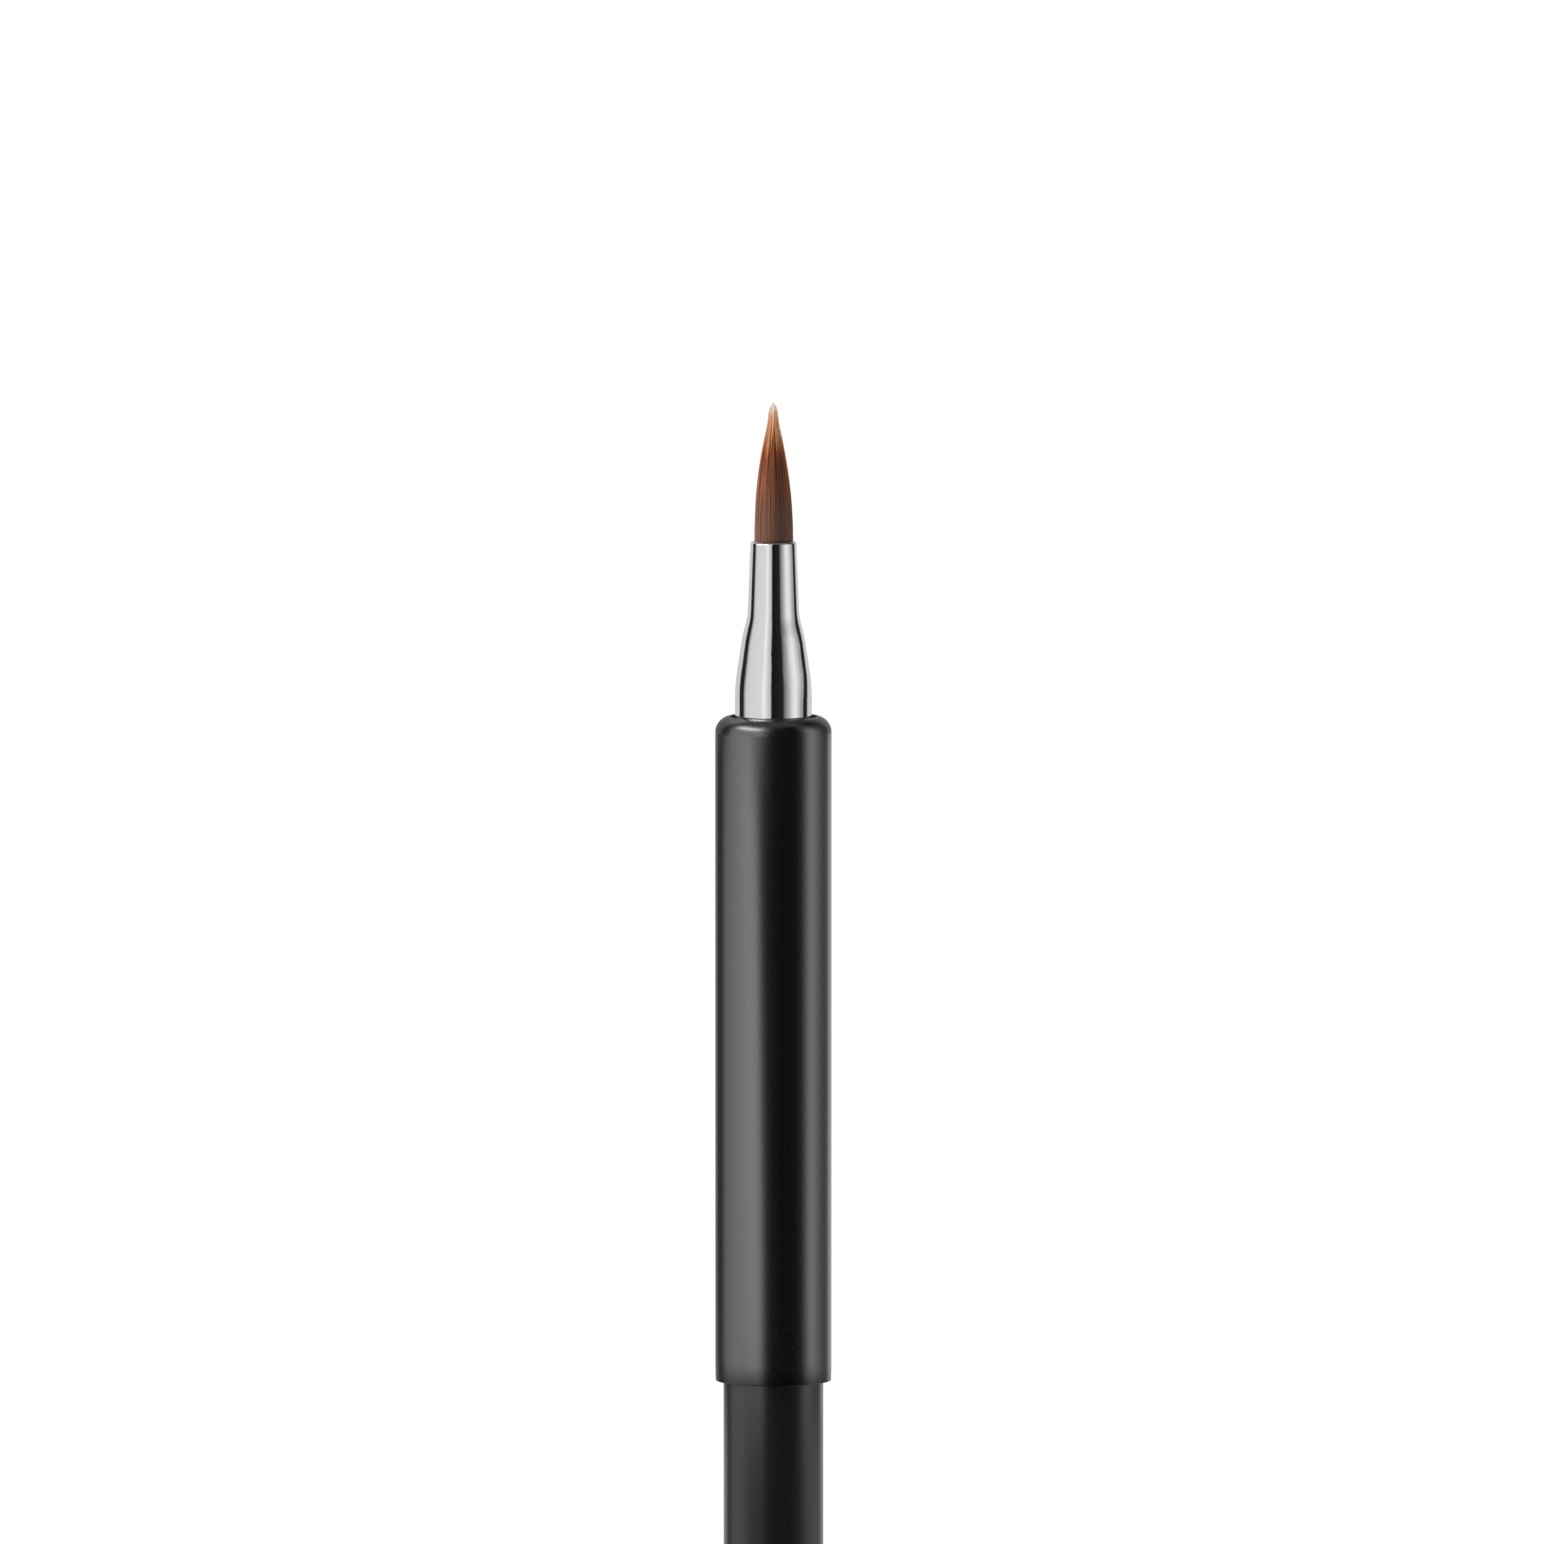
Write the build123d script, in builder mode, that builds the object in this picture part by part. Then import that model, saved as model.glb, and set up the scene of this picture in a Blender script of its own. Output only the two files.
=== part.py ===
from build123d import *
import os

# Retractable round detail brush: a pointed hair tuft in a plated ferrule, carried on a slim
# tube handle, with an outer sleeve that slides up over the hair to cover it.
# Millimetres. The origin is the centre of the end plug's flat face, and +Z runs along the
# brush's axis towards the point of the hair. Every piece is round about that axis.

# Handle: barrel, end plug and head holder
barrel_r = 4.3
barrel_wall = 0.5
barrel_top = 100.0
edge_break = 0.12
plug_flange = 1.5
plug_corner = 0.6
plug_spigot = 7.0
plug_core_r = 2.6
collar_height = 4.0
holder_spigot = 11.0
holder_core_r = 1.6
holder_core_depth = 14.0
stub_length = 9.0
spigot_lead = 0.4

# Ferrule: heights are above the collar it stands on, and the flare's curve is radius and height
ferrule_length = 24.1
ferrule_wall = 0.25
ferrule_base_r = 3.3
ferrule_neck_r = 2.2
ferrule_mouth_r = 1.97
ferrule_lip = 0.19
ferrule_lip_inside = 0.05
flare_low = 10.8
flare_curve = ((2.9, 14.4), (2.62, 16.1), (2.33, 17.25))
neck_height = 18.2
crimp_heights = (3.0, 6.0)
crimp_half = 0.6
crimp_depth = 0.15

# Hair, its binding and the resin round its root
hair_r = 1.7
hair_length = 12.0
root_gap = 1.5
thread_r = 0.13
thread_turns = 6
thread_overlap = 0.02
thread_above_root = 1.6
glue_height = 6.0

# Sleeve: shell, nose guide and slide liner
sleeve_r = 5.0
sleeve_wall = 0.35
sleeve_low = 55.75
sleeve_length = 57.35
nose_corner = 1.42
nose_hole_r = 3.74
nose_edge = 0.08
end_turn_height = 1.6
end_turn_in = 0.03
end_corner = 0.07
guide_bore_r = 3.9
guide_depth = 0.7
guide_corner = 1.1
liner_inset = 0.6
travel = 29.0
stop_gap = 0.1
running_gap = 0.09

# Friction ring and its groove
ring_section_r = 0.4
ring_gap = 0.04
groove_width = 1.0

# Radii and heights that follow from the values above
barrel_bore_r = barrel_r - barrel_wall
stub_r = ferrule_base_r - ferrule_wall
collar_top = barrel_top + collar_height
groove_mid = barrel_top + collar_height / 2
ferrule_top = collar_top + ferrule_length
stub_top = collar_top + stub_length
root_low = stub_top + root_gap
thread_low = root_low + thread_above_root
thread_pitch = 2 * thread_r - thread_overlap
binding_length = 2 * thread_r + thread_pitch * (thread_turns - 1)
tip = ferrule_top + hair_length
sleeve_top = sleeve_low + sleeve_length
sleeve_bore_r = sleeve_r - sleeve_wall
collar_r = sleeve_bore_r - running_gap
ring_mid_r = sleeve_bore_r - ring_gap - ring_section_r
groove_r = ring_mid_r - ring_section_r - ring_gap
guide_low = collar_top + stop_gap
liner_low = sleeve_low + liner_inset
liner_top = barrel_top - travel - stop_gap

os.makedirs("parts", exist_ok=True)


def ferrule_side(inset):
    """Draw the ferrule's side from base to mouth, moved in towards the axis by inset."""
    side_r = ferrule_base_r - inset
    low = (side_r, collar_top)
    for height in crimp_heights:
        crimp = collar_top + height
        start = (side_r, crimp - crimp_half)
        end = (side_r, crimp + crimp_half)
        Line(low, start)
        ThreePointArc(start, (side_r - crimp_depth, crimp), end)
        low = end
    flare = (side_r, collar_top + flare_low)
    curve = [(radius - inset, collar_top + height) for radius, height in flare_curve]
    neck = (ferrule_neck_r - inset, collar_top + neck_height)
    mouth = (ferrule_mouth_r - inset, ferrule_top)
    Line(low, flare)
    Spline(flare, *curve, neck, tangents=[(0, 1), Vector(*mouth) - Vector(*neck)])
    Line(neck, mouth)


def ferrule_inside():
    """Draw the closed half-section of everything inside the ferrule's wall."""
    ferrule_side(ferrule_wall)
    Line((ferrule_mouth_r - ferrule_wall, ferrule_top), (0, ferrule_top))
    Line((0, ferrule_top), (0, collar_top))
    Line((0, collar_top), (stub_r, collar_top))


# Barrel: the handle's tube, open at both ends
with BuildPart() as barrel:
    with BuildSketch(Plane.XY.offset(plug_flange)):
        Circle(barrel_r)
        Circle(barrel_bore_r, mode=Mode.SUBTRACT)
    extrude(amount=barrel_top - plug_flange)
    rims = barrel.edges().filter_by(GeomType.CIRCLE)
    chamfer(rims.group_by(SortBy.RADIUS)[-1], edge_break)
barrel.part.label = "barrel"
export_step(barrel.part, "parts/barrel.step")

# End plug: a flange as wide as the barrel, and a cored spigot pressed into the barrel
with BuildPart() as end_plug:
    with BuildSketch():
        Circle(barrel_r)
    extrude(amount=plug_flange)
    fillet(end_plug.edges().group_by(Axis.Z)[0], plug_corner)
    with BuildSketch(Plane.XY.offset(plug_flange)):
        Circle(barrel_bore_r)
    extrude(amount=plug_spigot)
    chamfer(end_plug.edges().group_by(Axis.Z)[-1], spigot_lead)
    with BuildSketch(Plane.XY.offset(plug_flange)):
        Circle(plug_core_r)
    extrude(amount=plug_spigot, mode=Mode.SUBTRACT)
end_plug.part.label = "end_plug"
export_step(end_plug.part, "parts/end_plug.step")

# Head holder: a spigot in the barrel, a grooved collar, and the stub inside the ferrule
with BuildPart() as head_holder:
    with BuildSketch(Plane.XZ):
        with BuildLine():
            ferrule_inside()
        make_face()
    revolve(axis=Axis.Z)
    split(bisect_by=Plane.XY.offset(stub_top), keep=Keep.BOTTOM)
    with BuildSketch(Plane.XY.offset(barrel_top)):
        Circle(collar_r)
    extrude(amount=collar_height)
    with BuildSketch(Plane.XY.offset(groove_mid - groove_width / 2)):
        Circle(collar_r)
        Circle(groove_r, mode=Mode.SUBTRACT)
    extrude(amount=groove_width, mode=Mode.SUBTRACT)
    rims = head_holder.edges().filter_by(GeomType.CIRCLE)
    chamfer(rims.group_by(SortBy.RADIUS)[-1], edge_break)
    with BuildSketch(Plane.XY.offset(barrel_top)):
        Circle(barrel_bore_r)
    extrude(amount=-holder_spigot)
    chamfer(head_holder.edges().group_by(Axis.Z)[0], spigot_lead)
    with BuildSketch(Plane.XY.offset(barrel_top - holder_spigot)):
        Circle(holder_core_r)
    extrude(amount=holder_core_depth, mode=Mode.SUBTRACT)
head_holder.part.label = "head_holder"
export_step(head_holder.part, "parts/head_holder.step")

# Friction ring: the O-ring in the collar's groove, which grips the sleeve's bore
with BuildPart() as friction_ring:
    with BuildSketch(Plane.XZ):
        with Locations((ring_mid_r, groove_mid)):
            Circle(ring_section_r)
    revolve(axis=Axis.Z)
friction_ring.part.label = "friction_ring"
export_step(friction_ring.part, "parts/friction_ring.step")

# Ferrule: drawn metal, with a crimped base, a bell-shaped flare, a tapered neck and a rolled lip
with BuildPart() as ferrule:
    with BuildSketch(Plane.XZ):
        with BuildLine():
            ferrule_side(0)
            ferrule_side(ferrule_wall)
            Line((ferrule_base_r, collar_top), (stub_r, collar_top))
            Line((ferrule_mouth_r, ferrule_top), (ferrule_mouth_r - ferrule_wall, ferrule_top))
        make_face()
    revolve(axis=Axis.Z)
    fillet(ferrule.edges().group_by(Axis.Z)[-1].sort_by(SortBy.RADIUS)[-1], ferrule_lip)
    fillet(ferrule.edges().group_by(Axis.Z)[-1].sort_by(SortBy.RADIUS)[0], ferrule_lip_inside)
ferrule.part.label = "ferrule"
export_step(ferrule.part, "parts/ferrule.step")

# Glue plug: set resin that holds the hair's root and its binding in the ferrule
with BuildPart() as glue_plug:
    with BuildSketch(Plane.XZ):
        with BuildLine():
            ferrule_inside()
        make_face()
    revolve(axis=Axis.Z)
    split(bisect_by=Plane.XY.offset(stub_top), keep=Keep.TOP)
    split(bisect_by=Plane.XY.offset(stub_top + glue_height), keep=Keep.BOTTOM)
    with BuildSketch(Plane.XY.offset(root_low)):
        Circle(hair_r)
    extrude(amount=glue_height, mode=Mode.SUBTRACT)
    with BuildSketch(Plane.XY.offset(thread_low - thread_r)):
        Circle(hair_r + 2 * thread_r)
    extrude(amount=binding_length, mode=Mode.SUBTRACT)
glue_plug.part.label = "glue_plug"
export_step(glue_plug.part, "parts/glue_plug.step")

# Binding thread: wound round the hair's root, as touching turns
with BuildPart() as binding_thread:
    with BuildSketch(Plane.XZ):
        for turn in range(thread_turns):
            with Locations((hair_r + thread_r, thread_low + turn * thread_pitch)):
                Circle(thread_r)
    revolve(axis=Axis.Z)
binding_thread.part.label = "binding_thread"
export_step(binding_thread.part, "parts/binding_thread.step")

# Bristle tuft: a straight root in the ferrule, then a parabola that closes to a fine point
with BuildPart() as bristle_tuft:
    with BuildSketch(Plane.XZ):
        with BuildLine():
            Polyline((0, tip), (0, root_low), (hair_r, root_low), (hair_r, ferrule_top))
            Bezier((hair_r, ferrule_top), (hair_r, ferrule_top + hair_length / 2), (0, tip))
        make_face()
    revolve(axis=Axis.Z)
bristle_tuft.part.label = "bristle_tuft"
export_step(bristle_tuft.part, "parts/bristle_tuft.step")

# Sleeve shell: drawn aluminium, with a rounded nose pierced for the ferrule, and an open lower end
# whose outside turns in slightly
with BuildPart() as sleeve_shell:
    with BuildSketch(Plane.XY.offset(sleeve_low)):
        Circle(sleeve_r)
    extrude(amount=sleeve_length)
    fillet(sleeve_shell.edges().group_by(Axis.Z)[-1], nose_corner)
    offset(amount=-sleeve_wall, openings=sleeve_shell.faces().sort_by(Axis.Z)[0])
    with BuildSketch(Plane.XY.offset(sleeve_top)):
        Circle(nose_hole_r)
    extrude(amount=-2 * nose_corner, mode=Mode.SUBTRACT)
    hole_wall = sleeve_shell.faces().filter_by(GeomType.CYLINDER).sort_by(Axis.Z)[-1]
    fillet(hole_wall.edges().group_by(Axis.Z)[-1], nose_edge)
    with BuildSketch(Plane.XZ):
        with BuildLine():
            turn_top = (sleeve_r, sleeve_low + end_turn_height)
            turn_end = (sleeve_r - end_turn_in, sleeve_low)
            TangentArc(turn_top, turn_end, tangent=(0, -1))
            Polyline(turn_end, (sleeve_r + 1, sleeve_low), (sleeve_r + 1, turn_top[1]), turn_top)
        make_face()
    revolve(axis=Axis.Z, mode=Mode.SUBTRACT)
    fillet(sleeve_shell.edges().group_by(Axis.Z)[0].sort_by(SortBy.RADIUS)[-1], end_corner)
sleeve_shell.part.label = "sleeve_shell"
export_step(sleeve_shell.part, "parts/sleeve_shell.step")

# Nose guide: a moulded bush in the sleeve's nose, which the collar stops when the sleeve is down
with BuildPart() as nose_guide:
    with BuildSketch(Plane.XY.offset(guide_low)):
        Circle(sleeve_bore_r)
    extrude(amount=sleeve_top - guide_depth - guide_low)
    fillet(nose_guide.edges().group_by(Axis.Z)[-1], guide_corner)
    with BuildSketch(Plane.XY.offset(guide_low)):
        Circle(guide_bore_r)
    extrude(amount=sleeve_top - guide_low, mode=Mode.SUBTRACT)
nose_guide.part.label = "nose_guide"
export_step(nose_guide.part, "parts/nose_guide.step")

# Slide liner: a thin bush in the sleeve's lower end, which meets the collar when the sleeve is up
with BuildPart() as slide_liner:
    with BuildSketch(Plane.XY.offset(liner_low)):
        Circle(sleeve_bore_r)
        Circle(barrel_r + running_gap, mode=Mode.SUBTRACT)
    extrude(amount=liner_top - liner_low)
slide_liner.part.label = "slide_liner"
export_step(slide_liner.part, "parts/slide_liner.step")
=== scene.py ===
"""Looks of the retractable detail brush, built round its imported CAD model. Metres, +Z up the brush."""

import math

import bpy
import numpy as np
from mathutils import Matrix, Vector


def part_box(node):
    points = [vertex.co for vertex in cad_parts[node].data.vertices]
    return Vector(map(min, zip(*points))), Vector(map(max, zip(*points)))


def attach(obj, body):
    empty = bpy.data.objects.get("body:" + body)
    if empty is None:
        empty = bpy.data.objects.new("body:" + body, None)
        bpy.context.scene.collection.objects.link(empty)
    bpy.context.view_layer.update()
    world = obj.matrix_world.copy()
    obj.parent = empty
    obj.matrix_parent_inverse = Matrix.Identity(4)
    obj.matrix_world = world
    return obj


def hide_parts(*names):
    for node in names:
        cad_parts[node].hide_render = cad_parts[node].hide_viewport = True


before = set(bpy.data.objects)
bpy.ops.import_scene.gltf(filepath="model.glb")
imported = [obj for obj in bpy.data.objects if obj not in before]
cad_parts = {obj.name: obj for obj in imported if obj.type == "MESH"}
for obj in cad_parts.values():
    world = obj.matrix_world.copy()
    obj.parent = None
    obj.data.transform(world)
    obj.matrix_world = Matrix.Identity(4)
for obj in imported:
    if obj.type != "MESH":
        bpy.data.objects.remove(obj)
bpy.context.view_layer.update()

MM = 0.001

# Places on the brush, from the frame
HAIR_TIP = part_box("bristle_tuft")[1].z
HAIR_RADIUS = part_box("bristle_tuft")[1].x
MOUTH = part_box("ferrule")[1].z
SLEEVE_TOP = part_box("sleeve_shell")[1].z
SLEEVE_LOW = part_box("sleeve_shell")[0].z


# ---------------------------------------------------------------- camera

LENS = 600.0
VIEW_WIDTH = 132.5 * MM
ELEVATION = math.radians(5.13)
AIM_BELOW_SLEEVE_TOP = 4.83 * MM
AIM_LEFT = 0.12 * MM


def add_camera():
    """A long lens a little above the brush, which shows its upper two thirds."""
    data = bpy.data.cameras.new("camera")
    data.lens = LENS
    data.clip_end = 30.0
    camera = bpy.data.objects.new("camera", data)
    bpy.context.scene.collection.objects.link(camera)
    distance = VIEW_WIDTH * LENS / data.sensor_width
    aim = Vector((-AIM_LEFT, 0, SLEEVE_TOP - AIM_BELOW_SLEEVE_TOP))
    back = Vector((0, -math.cos(ELEVATION), math.sin(ELEVATION)))
    camera.location = aim + back * distance
    camera.rotation_euler = back.to_track_quat("Z", "Y").to_euler()
    bpy.context.scene.camera = camera


# ---------------------------------------------------------------- studio

STUDIO_RADIUS = 0.05
DOME_GAP = 0.1 * MM
STUDIO_MID = Vector((0, 0, (SLEEVE_TOP + MOUTH) / 2))

# The studio round the brush, as seen from STUDIO_MID. Each ring is what the barrel, the sleeve or the
# ferrule sees round it: azimuths in degrees, counted from the camera's side and positive to the right,
# and how bright it is there. There is a soft box on each side, a white sheet behind the brush, and
# black flags between them.
BARREL_RING = (
    (-180, 0.80), (-134, 0.80), (-130, 0.10), (-112, 0.10), (-108, 0.50), (-72, 0.60), (-66, 0.38),
    (-58, 0.34), (-52, 0.19), (-26, 0.18), (-18, 0.03), (38, 0.03), (60, 0.12), (80, 0.45),
    (96, 0.58), (112, 0.50), (128, 0.30), (134, 0.70), (180, 0.80),
)
SLEEVE_RING = (
    (-180, 0.42), (-144, 0.42), (-140, 0.05), (-117, 0.05), (-108, 0.50), (-90, 0.66), (-64, 0.86),
    (-56, 1.02), (-37, 1.08), (-26, 0.02), (54, 0.01), (61, 0.12), (72, 0.92), (84, 0.86),
    (94, 0.46), (112, 0.18), (131, 0.16), (135, 0.86), (180, 0.86),
)
FERRULE_RING = (
    (-180, 0.66), (-123, 0.66), (-118, 0.02), (-100, 0.02), (-94, 0.42), (-87, 0.70), (-60, 0.75),
    (-36, 0.77), (-30, 0.95), (-25, 0.92), (-16, 0.66), (-9, 0.56), (-5, 0.01), (2, 0.01),
    (28, 0.02), (33, 0.18), (45, 0.43), (59, 0.81), (69, 0.92), (83, 0.60), (90, 0.42),
    (99, 0.36), (103, 0.02), (119, 0.02), (127, 0.62), (133, 0.66), (180, 0.66),
)

# How far the boxes lean: elevations, and the turn in degrees at each
LEFT_BOX_LEAN = ((-54, -21, -14), (11, 1, -14))
RIGHT_BOX_LEAN = ((-12, -6, 0, 6, 14), (-3, 1, 6, 6, 3))

# Where the boxes and the strip light are: nothing outside the outer two angles, all inside the inner two
LEFT_BOX_SPAN = (-80, -50, 0, 40)
RIGHT_BOX_SPAN = (20, 40, 150, 178)
STRIP_SPAN = (-92, -80, -34, -26)
STRIP_HEIGHT = (24, 28, 37, 42)

# Elevations over which the handle's studio changes from one ring to the next, the right box fades,
# the left box ends and the ceiling begins
BARREL_TO_SLEEVE = (-57, -54)
SLEEVE_TO_NOSE = (-16, -11.5)
RIGHT_BOX_TOP = (8, 40)
LEFT_BOX_TOP = (45, 59)
CEILING = (50, 60)

# How much darker the studio gets in places
NOSE_FRONT_DIM = 0.7
NOSE_BACK_DIM = 0.55
RIGHT_BOX_DIM = 0.75

STRIP_GLOW = 3.6
CEILING_GLOW = 0.17

# The room: a white sweep and a pale floor, a dim light from everywhere, and soft lights on the hair
SWEEP_RADIUS = 6.0
SWEEP_GLOW = 1.05
FLOOR_REACH = 4.0
ROOM_GLOW = 0.12
LIGHT_SIZE = 0.35
LIGHT_DISTANCE = 0.6


def ramp(value, low, high):
    """0 below low, 1 above high, and smooth between."""
    share = np.clip((value - low) / (high - low), 0, 1)
    return share * share * (3 - 2 * share)


def band(value, low, rise, fall, high):
    """1 from rise to fall, 0 below low and above high, and smooth between."""
    return ramp(value, low, rise) * (1 - ramp(value, fall, high))


def ring_glow(ring, azimuth):
    """Brightness of one ring of the studio."""
    return np.interp(azimuth, [a for a, _ in ring], [g for _, g in ring])


def blend(below, above, share):
    """Goes from one brightness to another, as share goes from 0 to 1."""
    return below * (1 - share) + above * share


def handle_glow(azimuth, elevation):
    """Brightness of the studio for the sleeve and the barrel, in a direction given in degrees."""
    lean = band(azimuth, *LEFT_BOX_SPAN) * np.interp(elevation, *LEFT_BOX_LEAN)
    sleeve = ring_glow(SLEEVE_RING, azimuth - lean)
    glow = blend(ring_glow(BARREL_RING, azimuth), sleeve, ramp(elevation, *BARREL_TO_SLEEVE))
    nose_left = ring_glow(FERRULE_RING, azimuth) * (1 - NOSE_FRONT_DIM * ramp(azimuth, -28, -12))
    nose = np.where(azimuth > 0, ring_glow(SLEEVE_RING, azimuth), nose_left)
    left_top = ramp(-azimuth, 0, 90) * ramp(elevation, 15, 40)
    nose = nose * (1 - NOSE_BACK_DIM * ramp(np.abs(azimuth), 95, 125) * (1 - left_top))
    return high_glow(blend(glow, nose, ramp(elevation, *SLEEVE_TO_NOSE)), azimuth, elevation)


def head_glow(azimuth, elevation):
    """Brightness of the studio for the ferrule and the hair, in a direction given in degrees."""
    lean = ramp(azimuth, 60, 95) * np.interp(elevation, *RIGHT_BOX_LEAN)
    return high_glow(ring_glow(FERRULE_RING, azimuth - lean), azimuth, elevation)


def high_glow(glow, azimuth, elevation):
    """Fades the right box upwards, ends the left box, and adds a strip light and a dim ceiling."""
    glow = glow * (1 - RIGHT_BOX_DIM * band(azimuth, *RIGHT_BOX_SPAN) * ramp(elevation, *RIGHT_BOX_TOP))
    left = 1 - ramp(azimuth, -20, -10)
    glow = glow * (1 - left * ramp(elevation, *LEFT_BOX_TOP))
    glow = glow + STRIP_GLOW * band(azimuth, *STRIP_SPAN) * band(elevation, *STRIP_HEIGHT)
    return np.maximum(glow, CEILING_GLOW * ramp(elevation, *CEILING))


def emission_material(name, strength, attribute=None, clear=False):
    """A white light. Its strength can come from a mesh attribute, and a clear one lets rays through."""
    material = bpy.data.materials.new(name)
    material.use_nodes = True
    nodes = material.node_tree.nodes
    links = material.node_tree.links
    nodes.clear()
    out = nodes.new("ShaderNodeOutputMaterial")
    light = nodes.new("ShaderNodeEmission")
    light.inputs["Strength"].default_value = strength
    links.new(light.outputs["Emission"], out.inputs["Surface"])
    if clear:
        both = nodes.new("ShaderNodeAddShader")
        links.new(light.outputs["Emission"], both.inputs[0])
        links.new(nodes.new("ShaderNodeBsdfTransparent").outputs["BSDF"], both.inputs[1])
        links.new(both.outputs["Shader"], out.inputs["Surface"])
    if attribute:
        glow = nodes.new("ShaderNodeAttribute")
        glow.attribute_name = attribute
        links.new(glow.outputs["Fac"], light.inputs["Strength"])
    material.cycles.emission_sampling = "NONE"
    return material


def dome_mesh(name, radius, middle, columns, rows, lowest=-90):
    """A dome above its middle and a wall below it: mesh, and each vertex's azimuth and elevation."""
    azimuth, elevation = np.meshgrid(
        np.linspace(-180, 180, columns + 1), np.linspace(lowest, 90, rows + 1), indexing="ij"
    )
    across, up = np.radians(azimuth), np.radians(elevation)
    flat = np.where(elevation > 0, np.cos(up), 1)
    height = np.where(elevation > 0, np.sin(up), np.tan(up))
    points = np.stack([np.sin(across) * flat, -np.cos(across) * flat, height], axis=-1) * radius
    points = points.reshape(-1, 3) + np.array(middle)
    step = rows + 1
    faces = [
        (c * step + r, c * step + r + 1, (c + 1) * step + r + 1, (c + 1) * step + r)
        for c in range(columns)
        for r in range(rows)
    ]
    mesh = bpy.data.meshes.new(name)
    mesh.from_pydata(points.tolist(), [], faces)
    return mesh, azimuth.ravel(), elevation.ravel()


def stage_object(name, mesh, camera, glossy, diffuse):
    """Adds a piece of the studio, seen only by the kinds of ray that are asked for."""
    thing = bpy.data.objects.new(name, mesh)
    bpy.context.scene.collection.objects.link(thing)
    thing.visible_camera = camera
    thing.visible_glossy = glossy
    thing.visible_diffuse = diffuse
    thing.visible_transmission = camera
    thing.visible_shadow = False
    return thing


def add_soft_boxes(name, radius, glow_at, pieces, link, clear):
    """A dome of soft boxes and flags whose light the pieces alone get (INCLUDE) or miss (EXCLUDE)."""
    mesh, azimuth, elevation = dome_mesh(name, radius, STUDIO_MID, columns=360, rows=170, lowest=-80)
    glow = mesh.attributes.new("glow", "FLOAT", "POINT")
    glow.data.foreach_set("value", glow_at(azimuth, elevation).astype(np.float32))
    mesh.materials.append(emission_material(name + "_light", 1.0, "glow", clear))
    dome = stage_object(name, mesh, camera=False, glossy=True, diffuse=False)
    receivers = bpy.data.collections.new(name + "_receivers")
    for piece in pieces:
        receivers.objects.link(piece)
    for entry in receivers.collection_objects:
        entry.light_linking.link_state = link
    dome.light_linking.receiver_collection = receivers


def add_studio(hair):
    """Soft boxes and flags for the reflections, a white sweep, a pale floor and soft lights."""
    # The outer dome is not clear, so that no light of the room comes through to the reflections
    head = [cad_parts["ferrule"], hair]
    add_soft_boxes("handle_boxes", STUDIO_RADIUS, handle_glow, head, "EXCLUDE", clear=True)
    add_soft_boxes("head_boxes", STUDIO_RADIUS + DOME_GAP, head_glow, head, "INCLUDE", clear=False)

    sweep, _, _ = dome_mesh("white_sweep", SWEEP_RADIUS, STUDIO_MID, columns=24, rows=12, lowest=-60)
    sweep.materials.append(emission_material("white_sweep_light", SWEEP_GLOW))
    stage_object("white_sweep", sweep, camera=True, glossy=False, diffuse=False)

    floor = bpy.data.meshes.new("floor")
    corners = [(-1, -1), (1, -1), (1, 1), (-1, 1)]
    floor.from_pydata([(FLOOR_REACH * x, FLOOR_REACH * y, 0) for x, y in corners], [], [(0, 1, 2, 3)])
    floor.materials.append(floor_material())
    stage_object("floor", floor, camera=True, glossy=False, diffuse=True)

    world = bpy.data.worlds.new("room")
    world.use_nodes = True
    world.node_tree.nodes["Background"].inputs["Color"].default_value = (1, 1, 1, 1)
    world.node_tree.nodes["Background"].inputs["Strength"].default_value = ROOM_GLOW
    bpy.context.scene.world = world

    add_soft_light("left_light", azimuth=-80, elevation=20, energy=6.5)
    add_soft_light("right_light", azimuth=105, elevation=15, energy=1.2)

    bpy.context.scene.view_settings.view_transform = "Standard"


def floor_material():
    """Pale, evenly lit floor that still takes a faint shadow."""
    material, shader, nodes, links = surface("floor_paint", (0.35, 0.35, 0.35), 0.9)
    grain = noise(nodes, links, 60.0)
    tone = color_ramp(nodes, links, grain, [(0.3, (0.34, 0.34, 0.34)), (0.7, (0.36, 0.36, 0.36))])
    links.new(tone, shader.inputs["Base Color"])
    shader.inputs["Emission Color"].default_value = (1, 1, 1, 1)
    shader.inputs["Emission Strength"].default_value = 0.95
    material.cycles.emission_sampling = "NONE"
    return material


def add_soft_light(name, azimuth, elevation, energy):
    """A square soft light that faces the hair. The domes stand for it in reflections."""
    data = bpy.data.lights.new(name, "AREA")
    data.size = LIGHT_SIZE
    data.energy = energy
    light = bpy.data.objects.new(name, data)
    bpy.context.scene.collection.objects.link(light)
    across, up = math.radians(azimuth), math.radians(elevation)
    away = Vector((math.sin(across) * math.cos(up), -math.cos(across) * math.cos(up), math.sin(up)))
    light.location = Vector((0, 0, MOUTH)) + away * LIGHT_DISTANCE
    light.rotation_euler = away.to_track_quat("Z", "Y").to_euler()
    light.visible_camera = False
    light.visible_glossy = False


# ---------------------------------------------------------------- material helpers


def surface(name, color, roughness, metallic=0.0):
    """A new principled material: (material, shader, nodes, links)."""
    material = bpy.data.materials.new(name)
    material.use_nodes = True
    nodes = material.node_tree.nodes
    links = material.node_tree.links
    shader = nodes["Principled BSDF"]
    shader.inputs["Base Color"].default_value = (*color, 1)
    shader.inputs["Roughness"].default_value = roughness
    shader.inputs["Metallic"].default_value = metallic
    return material, shader, nodes, links


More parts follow.
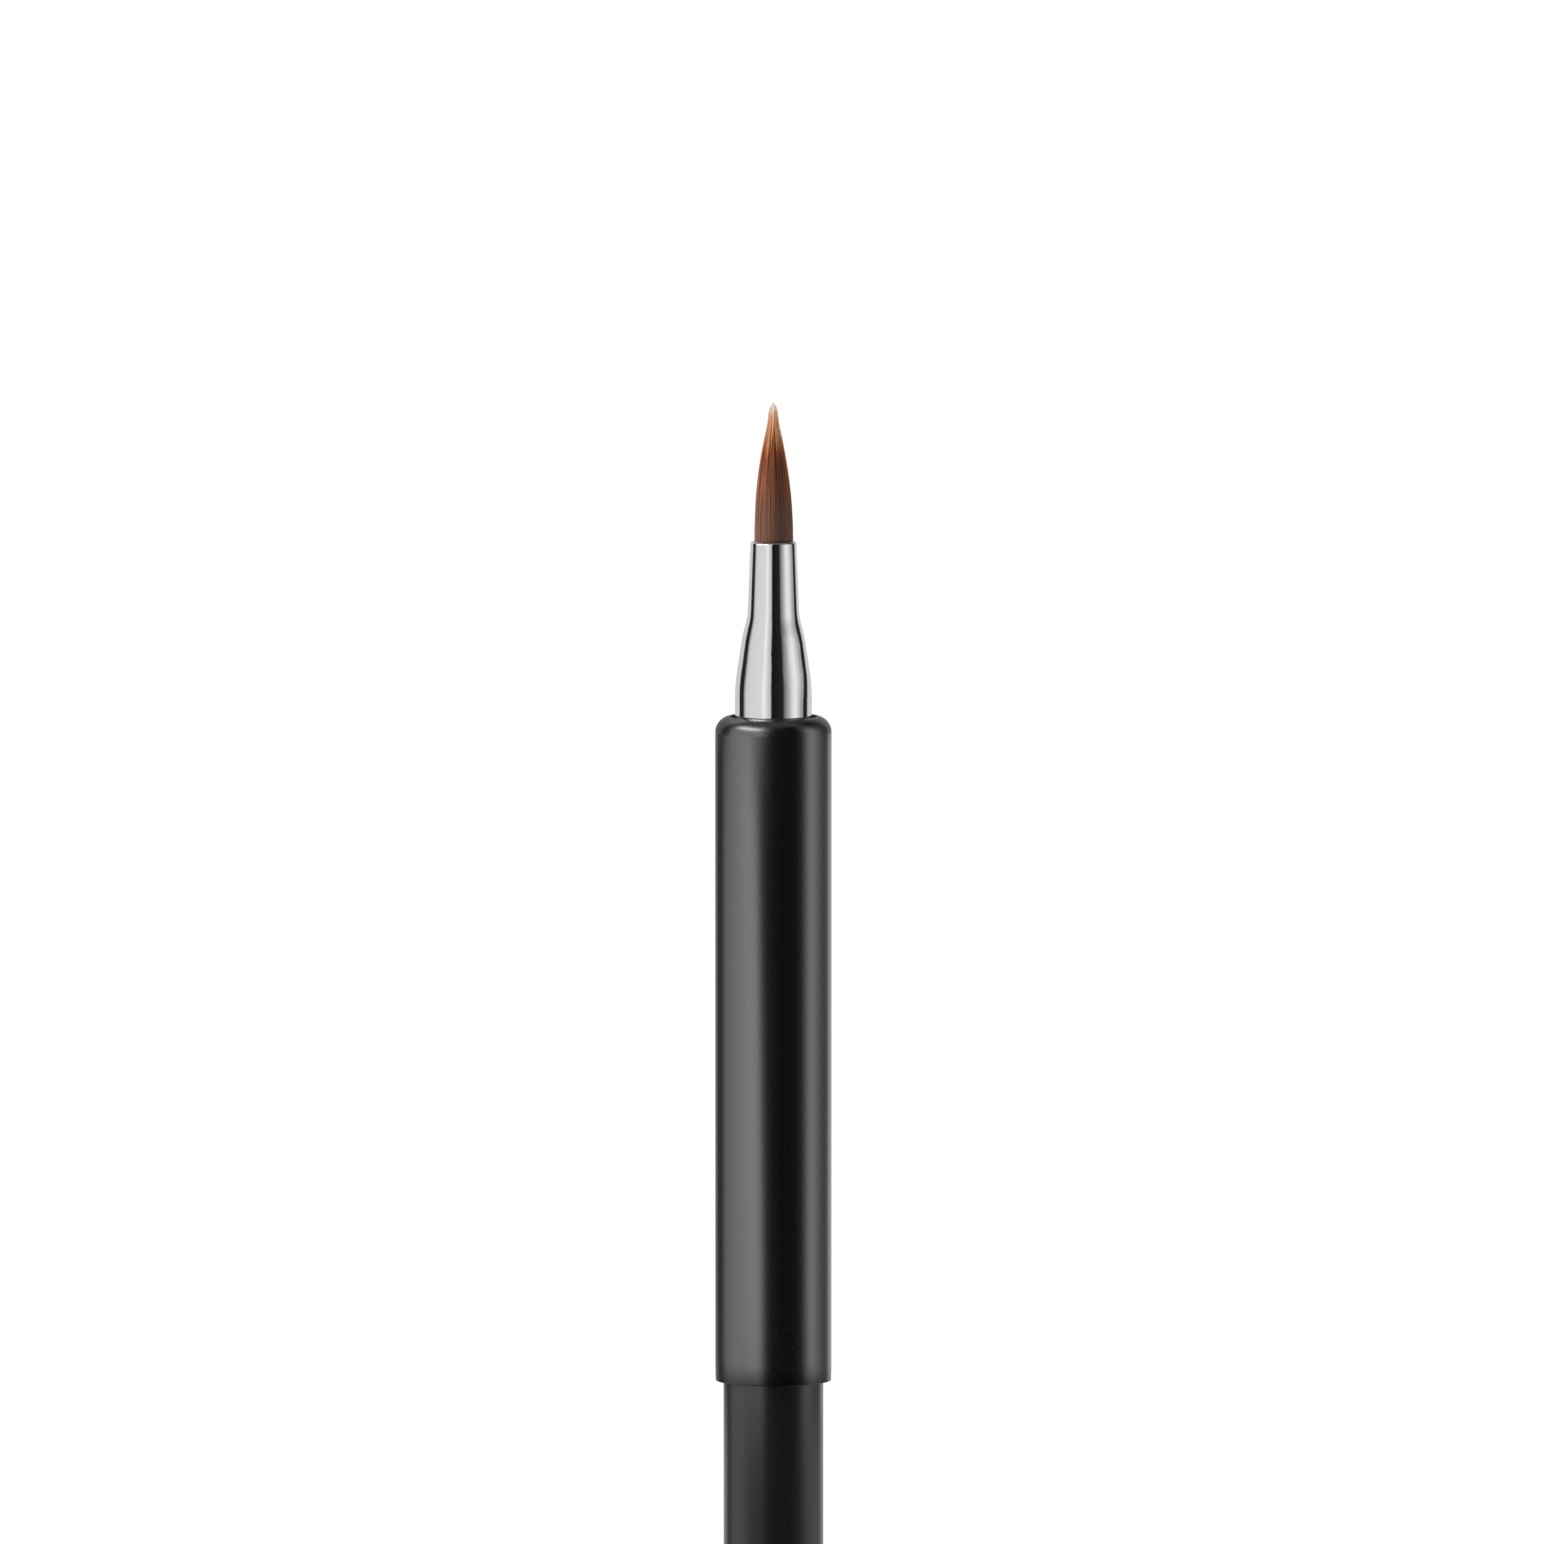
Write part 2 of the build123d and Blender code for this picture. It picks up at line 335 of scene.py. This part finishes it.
def object_place(nodes, links, stretch=(1, 1, 1)):
    """Object coordinates in millimetres, stretched."""
    place = nodes.new("ShaderNodeTexCoord")
    scale = nodes.new("ShaderNodeMapping")
    scale.inputs["Scale"].default_value = [1000 * s for s in stretch]
    links.new(place.outputs["Object"], scale.inputs["Vector"])
    return scale.outputs["Vector"]


def noise(nodes, links, scale, detail=3.0, stretch=(1, 1, 1)):
    """Noise whose scale is in cells per millimetre."""
    texture = nodes.new("ShaderNodeTexNoise")
    texture.inputs["Scale"].default_value = scale
    texture.inputs["Detail"].default_value = detail
    links.new(object_place(nodes, links, stretch), texture.inputs["Vector"])
    return texture.outputs["Fac"]


def color_ramp(nodes, links, value, stops):
    """A colour ramp of (position, (r, g, b)) stops."""
    node = nodes.new("ShaderNodeValToRGB")
    points = node.color_ramp.elements
    while len(points) < len(stops):
        points.new(0.5)
    for point, (position, color) in zip(points, stops):
        point.position = position
        point.color = (*color, 1)
    links.new(value, node.inputs["Fac"])
    return node.outputs["Color"]


def map_range(nodes, links, value, low, high):
    """The value's 0 to 1 mapped to low to high."""
    node = nodes.new("ShaderNodeMapRange")
    node.inputs["To Min"].default_value = low
    node.inputs["To Max"].default_value = high
    links.new(value, node.inputs["Value"])
    return node.outputs["Result"]


def bump(nodes, links, shader, height, distance_mm):
    """Relief of a given depth."""
    node = nodes.new("ShaderNodeBump")
    node.inputs["Strength"].default_value = 1.0
    node.inputs["Distance"].default_value = distance_mm * MM
    links.new(height, node.inputs["Height"])
    links.new(node.outputs["Normal"], shader.inputs["Normal"])


def use_material(node_name, material):
    """Gives a CAD node its finish."""
    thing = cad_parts[node_name]
    thing.data.materials.clear()
    thing.data.materials.append(material)


# ---------------------------------------------------------------- materials


def plated_metal():
    """Bright nickel plate, polished round the axis."""
    material, shader, nodes, links = surface("bright_plate", (0.86, 0.86, 0.85), 0.06, 1.0)
    marks = noise(nodes, links, 1.0, 4.0, (0.6, 0.6, 22.0))
    tone = color_ramp(nodes, links, marks, [(0.3, (0.84, 0.84, 0.83)), (0.7, (0.88, 0.88, 0.87))])
    links.new(tone, shader.inputs["Base Color"])
    links.new(map_range(nodes, links, marks, 0.045, 0.085), shader.inputs["Roughness"])
    bump(nodes, links, shader, marks, 0.0006)
    return material


# Painted shade darkens the sleeve's lacquer colour at its lower rim: heights above the rim in mm, and
# the shade there
PAINTED_SHADE_SPAN = (-0.2, 1.9)
PAINTED_SHADE_LOWEST = 0.42


def satin_black():
    """Charcoal satin lacquer of the sleeve, with a very fine sparkle in it, and painted shade that
    darkens it at the lower rim.
    """
    material, shader, nodes, links = surface("satin_black", (0.19, 0.195, 0.2), 0.28, 1.0)
    grain = noise(nodes, links, 14.0, 2.0)
    tone = color_ramp(nodes, links, grain, [(0.35, (0.175, 0.18, 0.184)), (0.65, (0.205, 0.209, 0.213))])
    height = nodes.new("ShaderNodeSeparateXYZ")
    links.new(object_place(nodes, links), height.inputs["Vector"])
    # Painted shade: the colour gets darker towards the sleeve's lower rim
    painted_rim_shade = nodes.new("ShaderNodeMapRange")
    painted_rim_shade.interpolation_type = "SMOOTHSTEP"
    painted_rim_shade.inputs["From Min"].default_value = SLEEVE_LOW / MM + PAINTED_SHADE_SPAN[0]
    painted_rim_shade.inputs["From Max"].default_value = SLEEVE_LOW / MM + PAINTED_SHADE_SPAN[1]
    painted_rim_shade.inputs["To Min"].default_value = PAINTED_SHADE_LOWEST
    painted_rim_shade.inputs["To Max"].default_value = 1.0
    links.new(height.outputs["Z"], painted_rim_shade.inputs["Value"])
    vary = nodes.new("ShaderNodeHueSaturation")
    links.new(tone, vary.inputs["Color"])
    links.new(painted_rim_shade.outputs["Result"], vary.inputs["Value"])
    links.new(vary.outputs["Color"], shader.inputs["Base Color"])
    links.new(map_range(nodes, links, grain, 0.25, 0.31), shader.inputs["Roughness"])
    bump(nodes, links, shader, grain, 0.0008)
    return material


def matt_black():
    """Matt anodised barrel."""
    material, shader, nodes, links = surface("matt_black", (0.008, 0.008, 0.0075), 0.27)
    shader.inputs["Specular IOR Level"].default_value = 1.0
    grain = noise(nodes, links, 10.0, 3.0, (1, 1, 0.25))
    tone = color_ramp(nodes, links, grain, [(0.3, (0.007, 0.007, 0.0065)), (0.7, (0.009, 0.009, 0.008))])
    links.new(tone, shader.inputs["Base Color"])
    links.new(map_range(nodes, links, grain, 0.24, 0.3), shader.inputs["Roughness"])
    bump(nodes, links, shader, grain, 0.0008)
    return material


def moulded_plastic(name, color, roughness):
    """Fine-grained moulded plastic."""
    material, shader, nodes, links = surface(name, color, roughness)
    grain = noise(nodes, links, 9.0, 3.0)
    low = tuple(c * 0.9 for c in color)
    high = tuple(c * 1.1 for c in color)
    links.new(color_ramp(nodes, links, grain, [(0.3, low), (0.7, high)]), shader.inputs["Base Color"])
    gloss = map_range(nodes, links, grain, roughness - 0.05, roughness + 0.05)
    links.new(gloss, shader.inputs["Roughness"])
    bump(nodes, links, shader, grain, 0.002)
    return material


def dyed_filament():
    """Two-tone dyed filament: dark at the root, tan above, cream at the point."""
    material, shader, nodes, links = surface("dyed_filament", (0.2, 0.09, 0.05), 0.38)
    dye = nodes.new("ShaderNodeAttribute")
    dye.attribute_name = "dye"
    shader.inputs["Specular IOR Level"].default_value = 0.25
    tone_and_painted_shading = nodes.new("ShaderNodeAttribute")
    tone_and_painted_shading.attribute_name = "tone_and_painted_shading"
    tones = [
        (0.0, (0.145, 0.073, 0.052)),
        (0.22, (0.16, 0.071, 0.044)),
        (0.42, (0.3, 0.075, 0.025)),
        (0.6, (0.57, 0.215, 0.078)),
        (0.74, (0.72, 0.4, 0.205)),
        (0.87, (0.78, 0.56, 0.39)),
        (1.0, (0.9, 0.84, 0.76)),
    ]
    tone = color_ramp(nodes, links, dye.outputs["Fac"], tones)
    # Each strand's random tone, with its painted light and shade, makes the colour lighter or darker
    vary = nodes.new("ShaderNodeHueSaturation")
    links.new(tone, vary.inputs["Color"])
    links.new(tone_and_painted_shading.outputs["Fac"], vary.inputs["Value"])
    links.new(vary.outputs["Color"], shader.inputs["Base Color"])
    return material


# ---------------------------------------------------------------- hair

# Each layer's share of the tuft's radius, and how many strands it has
HAIR_LAYERS = ((1.0, 166), (0.87, 124), (0.72, 96), (0.55, 70), (0.37, 44), (0.18, 18))
HAIR_THICK = 0.046 * MM
HAIR_STEPS = 24
HAIR_SIDES = 5
HAIR_SEED = 7
ROOT_DEPTH = 1.2 * MM
LONGEST = 0.999

# The outline: a parabola, but fuller in the middle and at the point, and leaning a little
TUFT_SHARE = 0.98
BELLY = 0.04 * MM
TIP_RADIUS = 0.2 * MM
LEAN_AT_ROOT = 0.03 * MM
LEAN_AT_TIP = -0.01 * MM

# The strands gather in locks: how many there are, how far a strand turns towards the middle of its
# lock, and how deep the grooves between them are, as a share of the radius
LOCKS = 23
LOCK_PULL = 0.28
LOCK_DEPTH = 0.05

# How far a strand sways round the tuft, in radians, and in and out, as a share of the radius
SWAY = 0.02
RIPPLE = 0.012

# Angles round the tuft, from the front and positive to the right, in radians
TONGUE_ANGLE = 0.08
DARK_LOCK_ANGLE = 0.36
# Where the painted light on the front near the point is centred
PAINTED_LIGHT_ANGLE = 0.15


def hair_envelope(t):
    """Radius of the tuft at a share t of the height from the ferrule's mouth to the point."""
    rise = np.clip(t, 0, 1)
    body = TUFT_SHARE * HAIR_RADIUS * (1 - rise ** 2) + BELLY * np.sin(np.pi * rise)
    return body + TIP_RADIUS * ramp(t, 0.82, 0.97) * (1 - 0.7 * ramp(t, 0.94, 1.0))


def half_turn(angle):
    """The same angle between minus and plus half a turn."""
    return (angle + np.pi) % (2 * np.pi) - np.pi


def hair_strands(random):
    """Centre lines, radii, dye, and tone with painted light and shade of every strand, as arrays of
    strand by step.
    """
    share = np.concatenate([np.full(count, fraction) for fraction, count in HAIR_LAYERS])
    layers = enumerate(HAIR_LAYERS)
    turns = [(np.arange(count) + 0.5 * (layer % 2)) / count for layer, (_, count) in layers]
    angle = 2 * np.pi * np.concatenate(turns)
    total = len(share)
    outer = ramp(share, 0.5, 1.0)
    angle = half_turn(angle + random.normal(0, 0.011, total) / np.maximum(share, 0.2))
    share = share - np.abs(random.normal(0, 0.007, total))
    start = -ROOT_DEPTH / (HAIR_TIP - MOUTH)
    end = LONGEST - random.random(total) ** 1.1 * (0.05 + 0.3 * outer)
    steps = np.linspace(0, 1, HAIR_STEPS)[None, :]
    t = start + (end[:, None] - start) * steps

    taper = 1 - 0.86 * ramp(steps, 0.45, 1.02)
    thick = HAIR_THICK * random.uniform(0.85, 1.15, total)[:, None] * taper
    radius = share[:, None] * np.maximum(hair_envelope(t) - thick, 0)

    lock_angle = 2 * np.pi * (np.arange(LOCKS) + random.uniform(-0.35, 0.35, LOCKS)) / LOCKS
    gap = half_turn(angle[:, None] - lock_angle[None, :])
    nearest = np.abs(gap).argmin(axis=1)
    to_lock = gap[np.arange(total), nearest]
    turn = angle[:, None] - to_lock[:, None] * LOCK_PULL * ramp(t, 0.15, 0.85)
    edge = np.abs(to_lock)[:, None] * LOCKS / np.pi
    radius = radius * (1 - LOCK_DEPTH * outer[:, None] * edge ** 2 * ramp(t, 0.1, 0.6))
    phase = random.uniform(0, 2 * np.pi, (total, 2))
    turn = turn + SWAY * np.sin(3.1 * t + phase[:, :1]) * ramp(t, 0, 0.5)
    radius = radius * (1 - RIPPLE * (1 + np.sin(9.0 * t + phase[:, 1:])) * ramp(t, 0, 0.3))

    height = MOUTH + (HAIR_TIP - MOUTH) * t
    lean = LEAN_AT_ROOT + (LEAN_AT_TIP - LEAN_AT_ROOT) * ramp(t, 0.1, 0.6)
    lines = np.stack([radius * np.sin(turn) + lean, -radius * np.cos(turn), height], axis=-1)

    dye = hair_dye(random, t, angle, nearest)
    tone_and_painted_shading = hair_tone_and_painted_shading(random, t, angle)
    return lines, thick, dye, tone_and_painted_shading


def hair_dye(random, t, angle, nearest):
    """How far the dye has changed from dark to pale, later in a tongue in front and raggedly by lock."""
    total = len(angle)
    tongue = np.exp(-(((angle - TONGUE_ANGLE) / 0.6) ** 2))
    change = 0.6 + 0.2 * tongue - 0.03 * np.sin(angle) + 0.02 * np.cos(7 * angle + 0.6)
    ragged = 0.02 + 0.05 * np.abs(np.sin(angle))
    change = change + random.normal(0, 1, LOCKS)[nearest] * ragged + random.normal(0, 0.03, total)
    change = change[:, None]
    spread = 0.08 + 0.08 * np.sin(angle[:, None]) ** 2
    dye = 0.3 * ramp(t, -0.2, 0.5) + 0.12 * ramp(t, 0.58, 0.7)
    return dye + 0.32 * ramp(t, change - spread, change + spread) + 0.26 * ramp(t, 0.84, 1.0)


def hair_tone_and_painted_shading(random, t, angle):
    """How light each strand is: a random tone, one dark lock, painted light on the front near the point,
    and painted shade on the left side, where the light falls.
    """
    tone_and_painted_shading = random.normal(1.0, 0.07, len(angle))[:, None] * np.ones(HAIR_STEPS)
    angle = angle[:, None]
    dark_lock = np.exp(-(((angle - DARK_LOCK_ANGLE) / 0.3) ** 2))
    tone_and_painted_shading = tone_and_painted_shading * (1 - dark_lock * np.interp(t, (0, 0.2, 0.35, 0.5, 0.72), (0.2, 0.3, 0.45, 0.4, 0)))
    # Painted light: strands in front are made paler near the point
    painted_light_front = np.clip(np.cos(angle - PAINTED_LIGHT_ANGLE), 0, 1)
    tone_and_painted_shading = tone_and_painted_shading * (1 + painted_light_front * np.interp(t, (0.72, 0.84, 0.9, 1), (0, 0.25, 0.25, 0.5)))
    # Painted shade: the left side, which the left light falls on, is made duller in the upper part
    painted_shade_lit_side = np.clip(-np.sin(angle), 0, 1) ** 2
    tone_and_painted_shading = tone_and_painted_shading * (1 - 0.45 * painted_shade_lit_side * np.interp(t, (0.6, 0.72, 1), (0, 1, 0.8)))
    return np.clip(tone_and_painted_shading, 0.5, 1.6)


def tube_mesh(name, lines, thick):
    """Closed tubes round many centre lines, with the strand and step of each vertex in order."""
    total, steps, _ = lines.shape
    along = np.gradient(lines, axis=1)
    along = along / np.linalg.norm(along, axis=2, keepdims=True)
    outward = lines * np.array([1, 1, 0]) + np.array([1e-7, 0, 0])
    outward = outward - along * (outward * along).sum(axis=2, keepdims=True)
    outward = outward / np.linalg.norm(outward, axis=2, keepdims=True)
    side = np.cross(along, outward)
    corner = 2 * np.pi * np.arange(HAIR_SIDES) / HAIR_SIDES
    ring = outward[:, :, None, :] * np.cos(corner)[None, None, :, None]
    ring = ring + side[:, :, None, :] * np.sin(corner)[None, None, :, None]
    points = lines[:, :, None, :] + ring * thick[:, :, None, None]
    faces = []
    for strand in range(total):
        first = strand * steps * HAIR_SIDES
        faces.append([first + k for k in reversed(range(HAIR_SIDES))])
        last = first + (steps - 1) * HAIR_SIDES
        faces.append([last + k for k in range(HAIR_SIDES)])
        for step in range(steps - 1):
            low = first + step * HAIR_SIDES
            for k in range(HAIR_SIDES):
                after = (k + 1) % HAIR_SIDES
                faces.append([low + k, low + after, low + HAIR_SIDES + after, low + HAIR_SIDES + k])
    mesh = bpy.data.meshes.new(name)
    mesh.from_pydata(points.reshape(-1, 3).tolist(), [], faces)
    mesh.shade_smooth()
    return mesh


def add_hair():
    """The tuft as separate tapered strands that close to a point."""
    random = np.random.default_rng(HAIR_SEED)
    lines, thick, dye, tone_and_painted_shading = hair_strands(random)
    mesh = tube_mesh("hair", lines, thick)
    for name, values in (("dye", dye), ("tone_and_painted_shading", tone_and_painted_shading)):
        layer = mesh.attributes.new(name, "FLOAT", "POINT")
        layer.data.foreach_set("value", np.repeat(values.ravel(), HAIR_SIDES).astype(np.float32))
    mesh.materials.append(dyed_filament())
    hair = bpy.data.objects.new("hair", mesh)
    bpy.context.scene.collection.objects.link(hair)
    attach(hair, "handle")
    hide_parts("bristle_tuft")
    return hair


# ---------------------------------------------------------------- the brush

add_camera()
hair = add_hair()
add_studio(hair)
use_material("ferrule", plated_metal())
use_material("sleeve_shell", satin_black())
use_material("barrel", matt_black())
use_material("end_plug", moulded_plastic("plug_plastic", (0.02, 0.02, 0.02), 0.45))
use_material("head_holder", moulded_plastic("holder_plastic", (0.025, 0.025, 0.025), 0.35))
use_material("nose_guide", moulded_plastic("guide_plastic", (0.02, 0.02, 0.02), 0.4))
use_material("slide_liner", moulded_plastic("liner_plastic", (0.03, 0.03, 0.03), 0.4))
use_material("friction_ring", moulded_plastic("ring_rubber", (0.015, 0.015, 0.015), 0.55))
use_material("glue_plug", moulded_plastic("set_resin", (0.5, 0.32, 0.12), 0.15))
use_material("binding_thread", moulded_plastic("thread", (0.6, 0.56, 0.48), 0.8))
